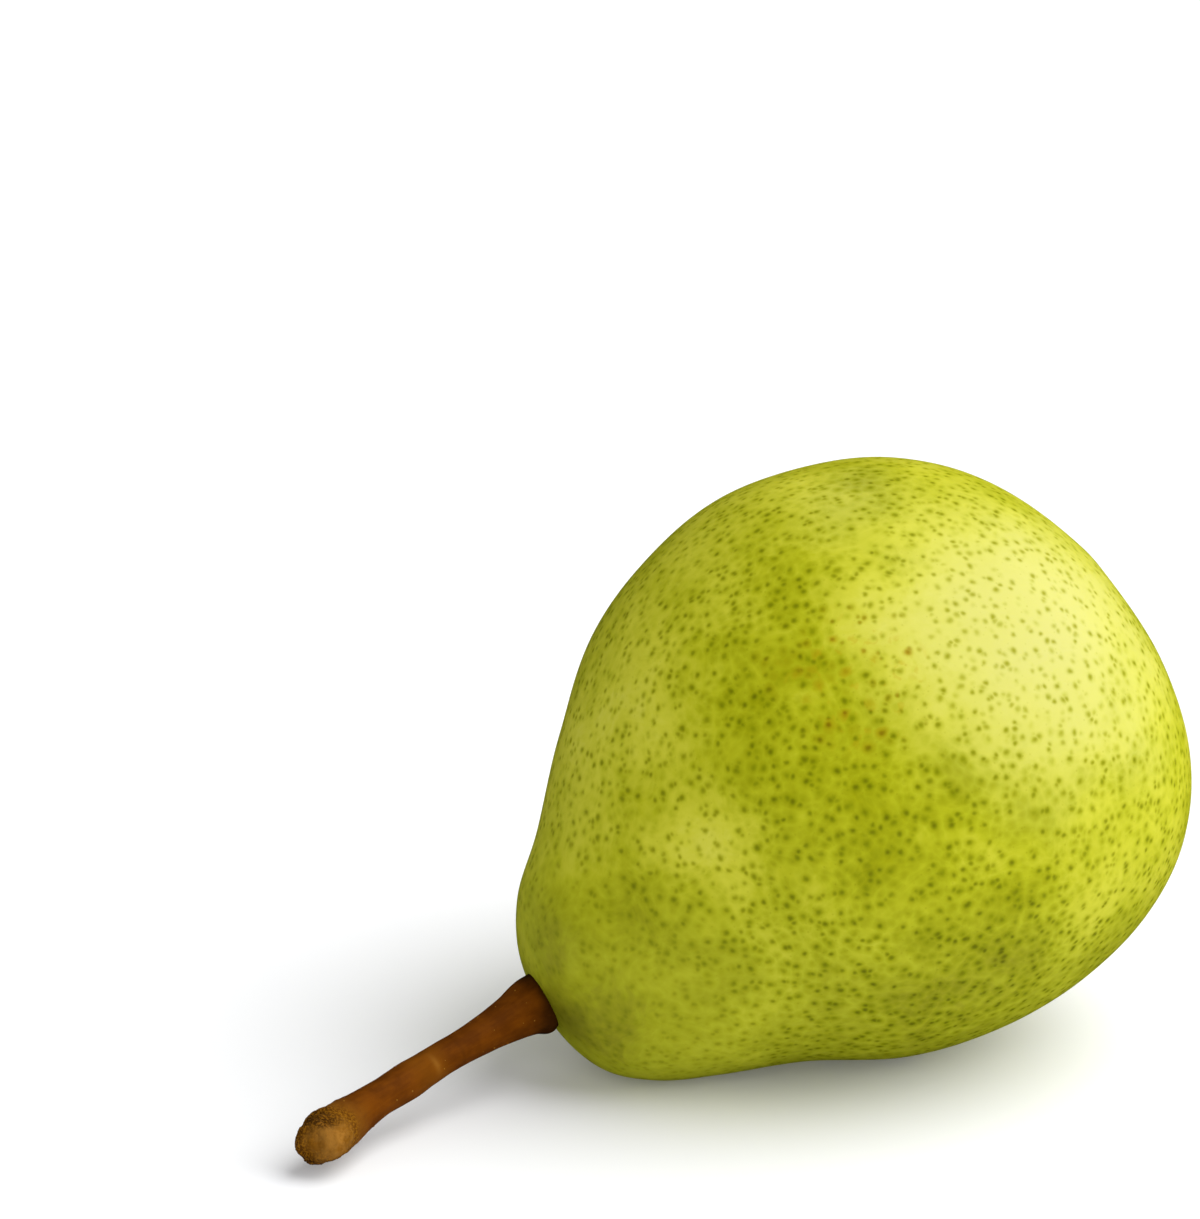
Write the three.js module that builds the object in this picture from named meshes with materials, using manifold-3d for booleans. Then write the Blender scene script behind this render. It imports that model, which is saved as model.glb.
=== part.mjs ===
// A green dessert pear lying on its side: the fruit, its woody stem, and the dried remains of
// the flower in the eye at the other end.
//
// Millimetres, +Z up. The stem points towards -X, and the pear rests on the plane z = 0 on two
// small flat spots, one under its belly and one under its neck. The origin is on that plane,
// under the middle of the whole pear's box.

import * as THREE from "three";
import { mergeVertices } from "three/addons/utils/BufferGeometryUtils.js";
import Module from "manifold-3d";

const wasm = await Module();
wasm.setup();

// ---- Driving dimensions ----

const TURN = 2 * Math.PI;
const JOINT_GAP = 0.3; // left between two pieces that grew against each other

// The fruit's outline, from the stem end to the eye. Each row holds the distance along the
// straight core, the radius there, and how far the middle of that round lies above the core.
const OUTLINE = [
  [0.0, 0.0, -1.5],
  [1.4, 7.5, -1.8],
  [5.6, 13.2, -1.1],
  [12.2, 17.7, -0.7],
  [20.8, 23.6, 0.8],
  [30.8, 30.5, 0.8],
  [41.6, 34.1, 0.5],
  [52.4, 35.0, 0.1],
  [62.4, 33.0, -0.8],
  [71.0, 28.6, -1.3],
  [77.6, 21.2, -1.5],
  [81.8, 10.6, -1.2],
  [83.2, 0.0, -1.0],
];
const FRUIT = { rings: 48, sides: 72 };
const LUMPS = { count: 3, depth: 0.004, phase: 1.0, twist: 0.04 }; // depth is a share of the radius
const REST_TILT = THREE.MathUtils.degToRad(30.8); // the core's slope, neck down
const FLAT_DEPTH = 0.38; // how far the flesh is pressed flat where it rests
const SLAB_SIZE = 400;

// The stem's hollow, and the eye's basin. Both are smooth dents pushed in along the core.
const STEM_HOLLOW = { along: 0, lift: 0.9, side: 0.9, depth: 0.6, width: 4.2 };
const EYE_BASIN = { along: 83.2, lift: -1.0, side: 0, depth: 4.6, width: 7.0 };
const CREASES = { count: 5, depth: 0.35, radius: 9.5, width: 3.5 }; // shallow creases round the eye

// The stem: its middle line from where it leaves the flesh, and its radius along the way.
const STEM_PATH = [
  [0, 0, 0],
  [-6.8, -2.6, -1.6],
  [-13.9, -5.1, -3.2],
  [-19.1, -7.8, -4.1],
  [-25.5, -11.2, -4.9],
  [-31.8, -15.8, -5.4],
  [-34.5, -17.7, -5.5],
];
const STEM_RADII = [
  [0.0, 3.0],
  [0.08, 3.2],
  [0.17, 2.8],
  [0.26, 2.3],
  [0.37, 1.95],
  [0.44, 1.9],
  [0.51, 1.95],
  [0.58, 2.1],
  [0.67, 1.95],
  [0.76, 2.2],
  [0.86, 2.6],
  [0.94, 2.9],
  [1.0, 2.4],
];
const STEM_ROOT = 3.5; // how far the stem goes into the flesh
const STEM_MESH = { rings: 30, sides: 16 };

// The dried flower: five sepals around a tuft of stamens, on the floor of the basin.
const SEPALS = 5;
const SEPAL = { rootRadius: 2.1, reach: 3.6, rise: 0.9, width: 2.8, thickness: 0.7 };
const SEPAL_ARCH = { turn: 0.62, droop: 0.45 }; // how far it arches over, and sinks to its tip
const SEPAL_LEAF = { spread: 1.4, rootShare: 0.14, bluntness: 0.7 }; // how its width tapers
const SEPAL_MESH = { rings: 12, sides: 10 };
const STAMENS = { radius: 1.3, height: 3.0, sides: 12 };
// The tuft's outline: shares of its radius and of its height.
const TUFT_OUTLINE = [
  [0, 0],
  [0.8, 0],
  [0.6, 0.45],
  [1, 0.8],
  [0.55, 1],
  [0, 0.85],
];

const COLOURS = {
  skin: { color: 0xb9bb2e, roughness: 0.42 },
  wood: { color: 0x7c4712, roughness: 0.7 },
  driedSepal: { color: 0x3a2a18, roughness: 0.85 },
  driedStamen: { color: 0x2a1d12, roughness: 0.9 },
};

// ---- Small helpers ----

function material({ color, roughness }) {
  return new THREE.MeshStandardMaterial({ color, roughness, metalness: 0 });
}

// A dent's strength at a distance from its middle, 1 in the middle and fading smoothly to 0.
function dent(distance, width) {
  return Math.exp(-((distance / width) ** 2));
}

// A value read from rows of [place, value], eased between the rows.
function valueAt(rows, place) {
  const next = Math.max(1, rows.findIndex(([p]) => p >= place));
  const [p0, v0] = rows[next - 1];
  const [p1, v1] = rows[next];
  return THREE.MathUtils.lerp(v0, v1, THREE.MathUtils.smoothstep(place, p0, p1));
}

// A closed skin over rings of points. pointAt(t, angle) gives a point for t from 0 to 1, and
// the first and last rings shrink to one point each.
function closedSkin(rings, sides, pointAt) {
  const points = [pointAt(0, 0)];
  for (let ring = 1; ring < rings; ring++) {
    for (let side = 0; side < sides; side++) points.push(pointAt(ring / rings, (TURN * side) / sides));
  }
  points.push(pointAt(1, 0));
  const at = (ring, side) => 1 + (ring - 1) * sides + (side % sides);
  const last = points.length - 1;
  const faces = [];
  for (let side = 0; side < sides; side++) {
    faces.push(0, at(1, side + 1), at(1, side));
    for (let ring = 1; ring < rings - 1; ring++) {
      faces.push(at(ring, side), at(ring, side + 1), at(ring + 1, side + 1));
      faces.push(at(ring, side), at(ring + 1, side + 1), at(ring + 1, side));
    }
    faces.push(at(rings - 1, side), at(rings - 1, side + 1), last);
  }
  const geometry = new THREE.BufferGeometry().setFromPoints(points);
  geometry.setIndex(faces);
  return geometry;
}

function toSolid(geometry) {
  const plain = geometry.clone();
  plain.deleteAttribute("normal");
  plain.deleteAttribute("uv");
  const merged = mergeVertices(plain);
  const vertProperties = new Float32Array(merged.attributes.position.array);
  const triVerts = new Uint32Array(merged.index.array);
  return new wasm.Manifold(new wasm.Mesh({ numProp: 3, vertProperties, triVerts }));
}

function toGeometry(solid) {
  const mesh = solid.getMesh();
  const geometry = new THREE.BufferGeometry();
  geometry.setAttribute("position", new THREE.BufferAttribute(new Float32Array(mesh.vertProperties), 3));
  geometry.setIndex(new THREE.BufferAttribute(new Uint32Array(mesh.triVerts), 1));
  return geometry;
}

// ---- The fruit ----

// The outline as one smooth curve. A mirrored row at each end makes the poles round.
function outlineCurve() {
  const mirrored = ([place, radius, lift]) => [place, -radius, lift];
  const rows = [mirrored(OUTLINE[1]), ...OUTLINE, mirrored(OUTLINE.at(-2))];
  const curve = new THREE.CatmullRomCurve3(rows.map((row) => new THREE.Vector3(...row)));
  curve.curveType = "catmullrom";
  curve.tension = 0.5;
  const margin = 1 / (rows.length - 1);
  return (t) => curve.getPoint(margin + t * (1 - 2 * margin));
}
const outline = outlineCurve();

// A place given along the core, above it and to its side, in the resting pear's frame.
function atRest(place, lift, side) {
  const cos = Math.cos(REST_TILT);
  const sin = Math.sin(REST_TILT);
  return new THREE.Vector3(place * cos - lift * sin, side, place * sin + lift * cos);
}

function fruitPoint(t, angle) {
  const { x: place, y: radius, z: middle } = outline(t);
  const lump = 1 + LUMPS.depth * Math.cos(LUMPS.count * angle + LUMPS.phase + LUMPS.twist * place);
  const side = radius * lump * Math.cos(angle);
  const lift = middle + radius * lump * Math.sin(angle);
  const fromStem = Math.hypot(lift - STEM_HOLLOW.lift, side - STEM_HOLLOW.side);
  const fromEye = Math.hypot(lift - EYE_BASIN.lift, side - EYE_BASIN.side);
  const ribs = Math.cos(CREASES.count * Math.atan2(side - EYE_BASIN.side, lift - EYE_BASIN.lift));
  const crease = CREASES.depth * ribs * dent(fromEye - CREASES.radius, CREASES.width);
  const stemDent = t < 0.5 ? STEM_HOLLOW.depth * dent(fromStem, STEM_HOLLOW.width) : 0;
  const eyeDent = t > 0.5 ? EYE_BASIN.depth * dent(fromEye, EYE_BASIN.width) + crease : 0;
  return atRest(place + stemDent - eyeDent, lift, side);
}

const wholeFruit = closedSkin(FRUIT.rings, FRUIT.sides, fruitPoint);
wholeFruit.computeBoundingBox();
const floorDrop = wholeFruit.boundingBox.min.z + FLAT_DEPTH;

// ---- The stem ----

const stemFoot = atRest(STEM_HOLLOW.along, STEM_HOLLOW.lift, STEM_HOLLOW.side);
const stemInward = atRest(1, 0, 0);

function stemCurve(extraRoot) {
  const places = STEM_PATH.map((offset) => stemFoot.clone().add(new THREE.Vector3(...offset)));
  const root = stemFoot.clone().addScaledVector(stemInward, STEM_ROOT + extraRoot);
  return new THREE.CatmullRomCurve3([root, ...places]);
}

// The stem's skin. grow fattens it on every side, for the socket that it sits in.
function stemSkin(grow) {
  const curve = stemCurve(grow);
  const { rings, sides } = STEM_MESH;
  const steps = rings - 2; // the first and last rings only close the two ends
  const frames = curve.computeFrenetFrames(steps);
  return closedSkin(rings, sides, (t, angle) => {
    const ring = Math.round(t * rings);
    const step = THREE.MathUtils.clamp(ring - 1, 0, steps);
    const isPole = ring === 0 || ring === rings;
    const radius = isPole ? 0 : valueAt(STEM_RADII, step / steps) + grow;
    return curve
      .getPointAt(step / steps)
      .addScaledVector(frames.normals[step], radius * Math.cos(angle))
      .addScaledVector(frames.binormals[step], radius * Math.sin(angle));
  });
}

// ---- The dried flower in the eye ----

// A place in the eye: out along the core from the basin's floor, away from its middle, and
// round it.
function inEye(out, away, angle) {
  const place = EYE_BASIN.along - EYE_BASIN.depth + out;
  return atRest(place, EYE_BASIN.lift + away * Math.sin(angle), EYE_BASIN.side + away * Math.cos(angle));
}

// How high the basin's floor stands above its lowest point, at a distance from its middle.
function basinFloor(away) {
  return EYE_BASIN.depth * (1 - dent(away, EYE_BASIN.width));
}

function sepalSkin(index) {
  const middleAngle = (TURN * (index + 0.5)) / SEPALS;
  const { spread, rootShare, bluntness } = SEPAL_LEAF;
  return closedSkin(SEPAL_MESH.rings, SEPAL_MESH.sides, (t, angle) => {
    const away = SEPAL.rootRadius + SEPAL.reach * t ** spread;
    const clearance = JOINT_GAP + SEPAL.thickness / 2;
    const arch = Math.sin(Math.PI * SEPAL_ARCH.turn * t) * (1 - SEPAL_ARCH.droop * t);
    const out = basinFloor(away) + clearance + SEPAL.rise * arch;
    const taper = Math.sin(Math.PI * THREE.MathUtils.lerp(rootShare, 1, t)) ** bluntness;
    const halfWidth = (SEPAL.width / 2) * taper;
    const halfThickness = (SEPAL.thickness / 2) * Math.min(1, taper * 2);
    const across = halfWidth * Math.cos(angle);
    const lifted = out + halfThickness * Math.sin(angle);
    return inEye(lifted, Math.hypot(away, across), middleAngle + Math.atan2(across, away));
  });
}

function stamenSkin() {
  const steps = TUFT_OUTLINE.length - 1;
  return closedSkin(steps, STAMENS.sides, (t, angle) => {
    const [radiusShare, heightShare] = TUFT_OUTLINE[Math.round(t * steps)];
    const out = JOINT_GAP + STAMENS.height * heightShare;
    return inEye(out, STAMENS.radius * radiusShare, angle);
  });
}

// ---- Putting it together ----

// A big block whose top lies at a height, to cut the resting flats with.
function slab(top) {
  return new THREE.BoxGeometry(SLAB_SIZE, SLAB_SIZE, SLAB_SIZE).translate(0, 0, top - SLAB_SIZE / 2);
}

const fruitSolid = toSolid(wholeFruit)
  .subtract(toSolid(slab(floorDrop)))
  .subtract(toSolid(stemSkin(JOINT_GAP)));

const pear = new THREE.Group();

function addPiece(name, geometry, finish) {
  const mesh = new THREE.Mesh(geometry, material(finish));
  mesh.name = name;
  pear.add(mesh);
}

addPiece("fruit", toGeometry(fruitSolid), COLOURS.skin);
addPiece("stem", stemSkin(0), COLOURS.wood);
for (let index = 0; index < SEPALS; index++) {
  addPiece(`sepal_${index + 1}`, sepalSkin(index), COLOURS.driedSepal);
}
addPiece("dried_stamens", stamenSkin(), COLOURS.driedStamen);

// The origin goes on the resting plane, under the middle of the box.
const box = new THREE.Box3().setFromObject(pear);
pear.position.set(-(box.min.x + box.max.x) / 2, -(box.min.y + box.max.y) / 2, -floorDrop);

export default pear;
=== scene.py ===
# %% [markdown]
# # A green pear, lying on its side
#
# The real object is a dessert pear: a fleshy fruit with a thin waxy skin, a woody stem rooted in
# one end, and the dried remains of its flower in the eye at the other end. A CAD model already
# fixes how big each piece is and where it lies. This lesson gives each piece its fine shape and
# its finish, in metres, around that model.

# %% Load the CAD model
import math

import bmesh
import bpy
import numpy as np
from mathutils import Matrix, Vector, noise


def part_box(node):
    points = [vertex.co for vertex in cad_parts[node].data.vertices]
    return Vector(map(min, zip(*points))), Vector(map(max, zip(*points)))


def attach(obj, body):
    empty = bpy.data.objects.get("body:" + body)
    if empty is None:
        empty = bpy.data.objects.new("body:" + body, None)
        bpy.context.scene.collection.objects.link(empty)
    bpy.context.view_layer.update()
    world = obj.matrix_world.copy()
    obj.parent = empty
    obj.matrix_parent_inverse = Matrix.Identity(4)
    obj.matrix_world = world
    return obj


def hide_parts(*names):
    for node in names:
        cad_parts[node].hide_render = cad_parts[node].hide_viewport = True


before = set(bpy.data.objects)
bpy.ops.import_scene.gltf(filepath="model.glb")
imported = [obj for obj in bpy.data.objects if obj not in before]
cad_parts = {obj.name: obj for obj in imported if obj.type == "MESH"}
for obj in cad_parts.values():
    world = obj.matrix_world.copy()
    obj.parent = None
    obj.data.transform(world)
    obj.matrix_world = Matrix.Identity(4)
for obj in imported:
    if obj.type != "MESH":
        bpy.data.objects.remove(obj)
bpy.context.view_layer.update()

MM = 0.001
TURN = 2 * math.pi
SAME_POINT = 0.002 * MM
print("CAD nodes:", ", ".join(sorted(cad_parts)))

# %% [markdown]
# ## Drawing node trees from Python
#
# Both materials and Geometry Nodes are trees of small nodes. Clicking them together is fine for
# a few, but a skin with spots inside spots needs dozens of sums. `Term` wraps one socket, so
# that `1 - mask * 0.5` adds the Math nodes by itself. `Graph.add` makes any other node, with its
# settings first, because they can change which sockets the node has. A socket is given by its
# name, or by its number where several share a name.

# %% Terms
def operator(operation, swapped=False):
    """A Python operator that adds one Math node."""

    def apply(term, other):
        values = (other, term) if swapped else (term, other)
        return term.graph.math(operation, *values)

    return apply


class Term:
    """A socket in a node tree that can be used in a Python sum."""

    def __init__(self, graph, socket):
        self.graph = graph
        self.socket = socket

    __add__ = __radd__ = operator("ADD")
    __sub__ = operator("SUBTRACT")
    __rsub__ = operator("SUBTRACT", swapped=True)
    __mul__ = __rmul__ = operator("MULTIPLY")
    __truediv__ = operator("DIVIDE")
    __pow__ = operator("POWER")

    def __neg__(self):
        return self * -1


# %% Graphs
class Graph:
    """Draws up one node tree."""

    def __init__(self, tree):
        self.tree = tree

    def plug(self, value, socket):
        if isinstance(value, Term):
            self.tree.links.new(value.socket, socket)
        else:
            socket.default_value = value

    def add(self, kind, settings=None, inputs=None, output=0):
        """Makes a node, and gives back an output, a tuple of outputs, or for None the node."""
        node = self.tree.nodes.new(kind)
        for name, setting in (settings or {}).items():
            setattr(node, name, setting)
        for name, value in (inputs or {}).items():
            self.plug(value, node.inputs[name])
        if output is None:
            return node
        if isinstance(output, tuple):
            return tuple(Term(self, node.outputs[name]) for name in output)
        return Term(self, node.outputs[output])

    def math(self, operation, *values):
        return self.add("ShaderNodeMath", {"operation": operation}, dict(enumerate(values)))

    def vector_math(self, operation, *values, output=0):
        inputs = dict(enumerate(values))
        return self.add("ShaderNodeVectorMath", {"operation": operation}, inputs, output)

    def scaled(self, vector, factor):
        inputs = {0: vector, "Scale": factor}
        return self.add("ShaderNodeVectorMath", {"operation": "SCALE"}, inputs)

    def ease(self, value, start, end, low=0.0, high=1.0):
        """low before start, high after end, and a smooth slope between them."""
        settings = {"interpolation_type": "SMOOTHSTEP", "clamp": True}
        inputs = {"Value": value, "From Min": start, "From Max": end, "To Min": low, "To Max": high}
        return self.add("ShaderNodeMapRange", settings, inputs)

    def split(self, vector):
        return self.add("ShaderNodeSeparateXYZ", inputs={0: vector}, output=("X", "Y", "Z"))

    def join(self, x, y, z):
        return self.add("ShaderNodeCombineXYZ", inputs={"X": x, "Y": y, "Z": z})


# %% [markdown]
# ## Running a Geometry Nodes tree once
#
# A Geometry Nodes modifier stays live, but a finished piece should be a plain mesh. So `grow`
# puts the tree on a small template mesh, sets the tree's named inputs, takes the evaluated
# result as a new mesh, and throws the template away. A modifier stores an input under its
# socket's identifier, so the names are looked up first.

# %% Make and run a tree
def new_tree(name, inputs):
    """A Geometry Nodes tree with a Geometry input, the named inputs, and a Geometry output."""
    tree = bpy.data.node_groups.new(name, "GeometryNodeTree")
    tree.interface.new_socket("Geometry", in_out="INPUT", socket_type="NodeSocketGeometry")
    for label, kind in inputs.items():
        tree.interface.new_socket(label, in_out="INPUT", socket_type=f"NodeSocket{kind}")
    tree.interface.new_socket("Geometry", in_out="OUTPUT", socket_type="NodeSocketGeometry")
    graph = Graph(tree)
    start = graph.add("NodeGroupInput", output=None)
    given = {socket.name: Term(graph, socket) for socket in start.outputs if socket.name}
    return graph, given


def finish_tree(graph, geometry, material):
    real = graph.add("GeometryNodeRealizeInstances", inputs={"Geometry": geometry})
    painted = graph.add("GeometryNodeSetMaterial", inputs={"Geometry": real, "Material": material})
    graph.add("NodeGroupOutput", inputs={"Geometry": painted}, output=None)


def grow(name, template, graph, values):
    """The mesh that a tree makes from a template, as an object of its own."""
    holder = bpy.data.objects.new(name + "_template", template)
    bpy.context.scene.collection.objects.link(holder)
    modifier = holder.modifiers.new("grow", "NODES")
    modifier.node_group = graph.tree
    for item in graph.tree.interface.items_tree:
        if item.in_out == "INPUT" and item.name in values:
            modifier[item.identifier] = values[item.name]
    depsgraph = bpy.context.evaluated_depsgraph_get()
    mesh = bpy.data.meshes.new_from_object(holder.evaluated_get(depsgraph), depsgraph=depsgraph)
    bpy.data.objects.remove(holder)
    return new_piece(name, mesh)


# %% Pieces and their meshes
def new_piece(name, mesh, material=None):
    mesh.name = name
    piece = bpy.data.objects.new(name, mesh)
    bpy.context.scene.collection.objects.link(piece)
    if material:
        mesh.materials.append(material)
    return piece


def tidy_mesh(piece):
    """Joins doubled points, turns the faces outwards and shades them smooth."""
    mesh = piece.data
    shape = bmesh.new()
    shape.from_mesh(mesh)
    bmesh.ops.remove_doubles(shape, verts=shape.verts, dist=SAME_POINT)
    bmesh.ops.recalc_face_normals(shape, faces=shape.faces)
    shape.to_mesh(mesh)
    shape.free()
    mesh.shade_smooth()
    print(f"{piece.name}: {sum(len(face.vertices) - 2 for face in mesh.polygons)} triangles")


# %% Rings and boxes
def ring_faces(rings, sides):
    """The four-sided faces between rings of corners that follow each other in a list."""
    faces = []
    for ring in range(rings - 1):
        for side in range(sides):
            after = (side + 1) % sides
            here, there = ring * sides, (ring + 1) * sides
            faces.append((here + side, here + after, there + after, there + side))
    return faces


def corners(piece):
    """The lowest and highest corners of a piece's mesh."""
    points = np.empty(len(piece.data.vertices) * 3)
    piece.data.vertices.foreach_get("co", points)
    points = points.reshape(-1, 3)
    return points.min(axis=0), points.max(axis=0)


# %% [markdown]
# ## Procedural materials
#
# Every finish here is built from noise and spots that are measured in millimetres on the object
# itself, so that a spot keeps its real size from any side. `new_material` starts one: it gives
# back the graph, the shader node and the object's coordinates in millimetres. The helpers after
# it are the brushes that all finishes share: clouds, scattered spots, soft balls and relief.

# %% Start a material
def new_material(name, constants):
    material = bpy.data.materials.new(name)
    material.use_nodes = True
    material.node_tree.nodes.clear()
    graph = Graph(material.node_tree)
    shader = graph.add("ShaderNodeBsdfPrincipled", inputs=constants, output=None)
    surface = Term(graph, shader.outputs[0])
    graph.add("ShaderNodeOutputMaterial", inputs={"Surface": surface}, output=None)
    place = graph.add("ShaderNodeTexCoord", output="Object")
    per_mm = (1 / MM, 1 / MM, 1 / MM)
    in_mm = graph.add("ShaderNodeMapping", inputs={"Vector": place, "Scale": per_mm})
    return material, graph, shader, in_mm


# %% Brushes for all finishes
def cloud(graph, place, size, detail=2.0, roughness=0.5):
    """Soft noise whose blobs are about size millimetres wide, from 0 to 1."""
    inputs = {"Vector": place, "Scale": 1 / size, "Detail": detail, "Roughness": roughness}
    return graph.add("ShaderNodeTexNoise", inputs=inputs, output="Fac")


def wobbled(graph, place, size, amount, detail):
    """The place, pushed about by noise so that what is drawn there gets an uneven edge."""
    inputs = {"Vector": place, "Scale": 1 / size, "Detail": detail}
    push = graph.add("ShaderNodeTexNoise", inputs=inputs, output="Color")
    centred = graph.vector_math("SUBTRACT", push, (0.5, 0.5, 0.5))
    return graph.vector_math("ADD", place, graph.scaled(centred, amount))


def soft_ball(graph, place, middle, reach, solid=0.0):
    """0 from reach millimetres outwards, and 1 inside the share of it that is solid."""
    distance = graph.vector_math("DISTANCE", place, middle, output="Value")
    return graph.ease(distance, reach, solid * reach)


def mix(graph, amount, under, over, blend="MIX"):
    """One colour over another, by an amount from 0 to 1."""
    settings = {"data_type": "RGBA", "blend_type": blend}
    return graph.add("ShaderNodeMix", settings, {"Factor": amount, 6: under, 7: over}, 2)


def spots(graph, place, spacing):
    """Scattered points: the millimetres to the nearest one, and that one's own random values."""
    inputs = {"Vector": place, "Scale": 1 / spacing, "Randomness": 0.88}
    outputs = ("Distance", "Color")
    distance, colour = graph.add("ShaderNodeTexVoronoi", inputs=inputs, output=outputs)
    return distance * spacing, graph.split(colour)


def relief(graph, shader, strength, depth, pattern):
    """Slight bumps on a finish: their strength from 0 to 1 and their depth in millimetres."""
    inputs = {"Strength": strength, "Distance": depth * MM, "Height": pattern}
    graph.plug(graph.add("ShaderNodeBump", inputs=inputs), shader.inputs["Normal"])


# %% [markdown]
# ## The skin's colours
#
# A ripe green pear isn't one green. Where the sun reached it the skin has turned a pale yellow
# green, and where leaves shaded it, it has stayed a deep green. The big patches are laid out as
# soft balls of colour, because this is one certain pear. Some of them are painted shade: the
# skin is made greener, and so darker, underneath, in the hollow round the stem and low on the
# neck's left, where less light falls. The pale patch on the sun side is partly the skin's own
# colour and partly a painted highlight. Noise frays their edges and carries the mottling over
# the rest of the skin.

# %% Where the skin is greener or paler
# Each patch: its middle, how far it reaches (both in millimetres) and how much greener it is.
PATCHES = {
    "belly band": ((3.6, -28.5, 44.2), 16, 0.26),
    "belly band, lower": ((3.8, -30.6, 34.5), 13, 0.30),
    "right of the band, upper": ((4.5, -22.5, 54.5), 8, 0.16),
    "right of the band, middle": ((14.5, -33.2, 40.5), 10, 0.13),
    # Painted shade: greener, so darker, low on the right, where less light falls.
    "right of the underside": ((25.0, -32.5, 24.0), 10, 0.18),
    "belly, below the band": ((9.5, -32.6, 27.5), 10, -0.08),
    "belly band, upper": ((-2.5, -19.7, 52.3), 8, 0.18),
    "left of the band": ((-6.5, -16.5, 48.5), 11, 0.20),
    "left of the band, lower": ((-8.5, -18.5, 42.0), 8, 0.17),
    "above the band": ((4.5, -16.0, 60.5), 9, 0.22),
    "top": ((15.5, -4.5, 68.3), 12, 0.20),
    "neck slant": ((-14.8, -14.2, 26.4), 9, 0.28),
    "neck slant, lower": ((-9.7, -19.2, 21.5), 8, 0.20),
    "pale neck spot": ((-9.6, -19.2, 34.6), 9, -0.32),
    "pale top of belly": ((10.0, -22.5, 59.6), 11, -0.24),
    "pale left flank": ((-13.5, -4.6, 46.0), 14, -0.26),
    # Partly the skin's own paler colour on the sun side, partly a painted highlight.
    "sun side": ((27.5, -25.0, 56.5), 24, -0.38),
    # Painted shade: greener, so darker, underneath the belly.
    "underside": ((15.0, -31.0, 20.0), 19, 0.26),
    "below the sun side": ((25.3, -34.6, 38.5), 9, 0.14),
    "band, left edge": ((-3.6, -23.4, 44.7), 9, 0.13),
    "left flank, low": ((-15.3, -11.5, 33.9), 8, 0.13),
    "below the pale neck spot": ((-4.3, -25.2, 30.8), 8, 0.09),
    "pale spot under the belly": ((4.5, -28.5, 23.5), 9, -0.12),
    # Painted shade: greener, so darker, low on the neck and along its left edge.
    "neck, low on the left": ((-16.5, -11.5, 18.5), 11, 0.28),
    "neck, left edge": ((-21.0, -4.5, 24.0), 11, 0.34),
    "left of the top": ((3.0, -9.5, 64.0), 9, 0.18),
    "eye end": ((52.0, 8.0, 45.0), 30, 0.32),
    # Painted shade: greener, so darker, below the stem and in the hollow round it.
    "below the stem": ((-17.5, -10.0, 6.5), 8, 0.26),
    "round the stem": ((-19.0, -7.0, 9.0), 12, 0.18),
}
USUAL_GREEN = 0.40
# Painted shade: the skin is made greener, and so darker, low down towards the table.
PAINTED_SHADE_LOW_DOWN = {"from": 28, "full": 12, "greener": 0.26}
# Each mottling: how wide its blobs are in millimetres, its detail and roughness, its strength.
MOTTLING = {
    "broad": (15, 1, 0.5, 0.5),
    "patchy": (5, 2, 0.5, 0.42),
    "grainy": (1.3, 2, 0.6, 0.35),
}


def greenness_of(graph, place, frayed):
    """About 0 where the skin is a pale cream yellow, up to 1 where it is deep green."""
    total = USUAL_GREEN
    for name, (size, detail, roughness, strength) in MOTTLING.items():
        where = frayed if name == "grainy" else place
        total = total + (cloud(graph, where, size, detail, roughness) - 0.5) * strength
    for middle, reach, strength in PATCHES.values():
        total = total + soft_ball(graph, frayed, middle, reach) * strength
    # Painted shade: greener, so darker, towards the table.
    above_table = graph.split(frayed)[2]
    painted_low_shade = graph.ease(above_table, PAINTED_SHADE_LOW_DOWN["from"], PAINTED_SHADE_LOW_DOWN["full"])
    return total + painted_low_shade * PAINTED_SHADE_LOW_DOWN["greener"]


print(len(PATCHES), "greener and paler patches")

# %% [markdown]
# ## The ground colour
#
# The greenness picks a colour from a ramp that runs from a pale yellow green to a deep olive
# green. Two things are painted over it. A painted highlight makes the side towards the light and
# the top creamy, and a painted sheen makes the skin faintly paler low down, where light grazes
# it.

# %% Ground colour
SKIN_COLOURS = [
    (0.0, (0.568, 0.553, 0.070, 1)),
    (0.25, (0.508, 0.503, 0.034, 1)),
    (0.55, (0.398, 0.408, 0.011, 1)),
    (0.78, (0.308, 0.318, 0.003, 1)),
    (1.0, (0.203, 0.20, 0.001, 1)),
]
# Painted highlight and sheen: the creamy colour laid on the side towards the light and the top.
PAINTED_HIGHLIGHT_CREAM = (0.505, 0.49, 0.155, 1)
PAINTED_HIGHLIGHT_PATCHES = {
    "sun side": ((29.5, -27.0, 56.0), 27, 0.85),
    "top": ((14.0, -6.0, 69.0), 12, 0.22),
}
# Painted sheen: a faint pale film low down, where light grazes the skin.
PAINTED_SHEEN_COLOUR = (0.45, 0.45, 0.12, 1)
PAINTED_SHEEN_LOW_DOWN = {"from": 34, "full": 16, "strength": 0.08}


def ramp_colour(graph, value, stops):
    """The colour at a value from 0 to 1, blended between the colours of the stops beside it."""
    node = graph.add("ShaderNodeValToRGB", inputs={"Fac": value}, output=None)
    elements = node.color_ramp.elements
    while len(elements) < len(stops):
        elements.new(0.5)
    for element, (place, colour) in zip(elements, stops):
        element.position = place
        element.color = colour
    return Term(graph, node.outputs["Color"])


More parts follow.
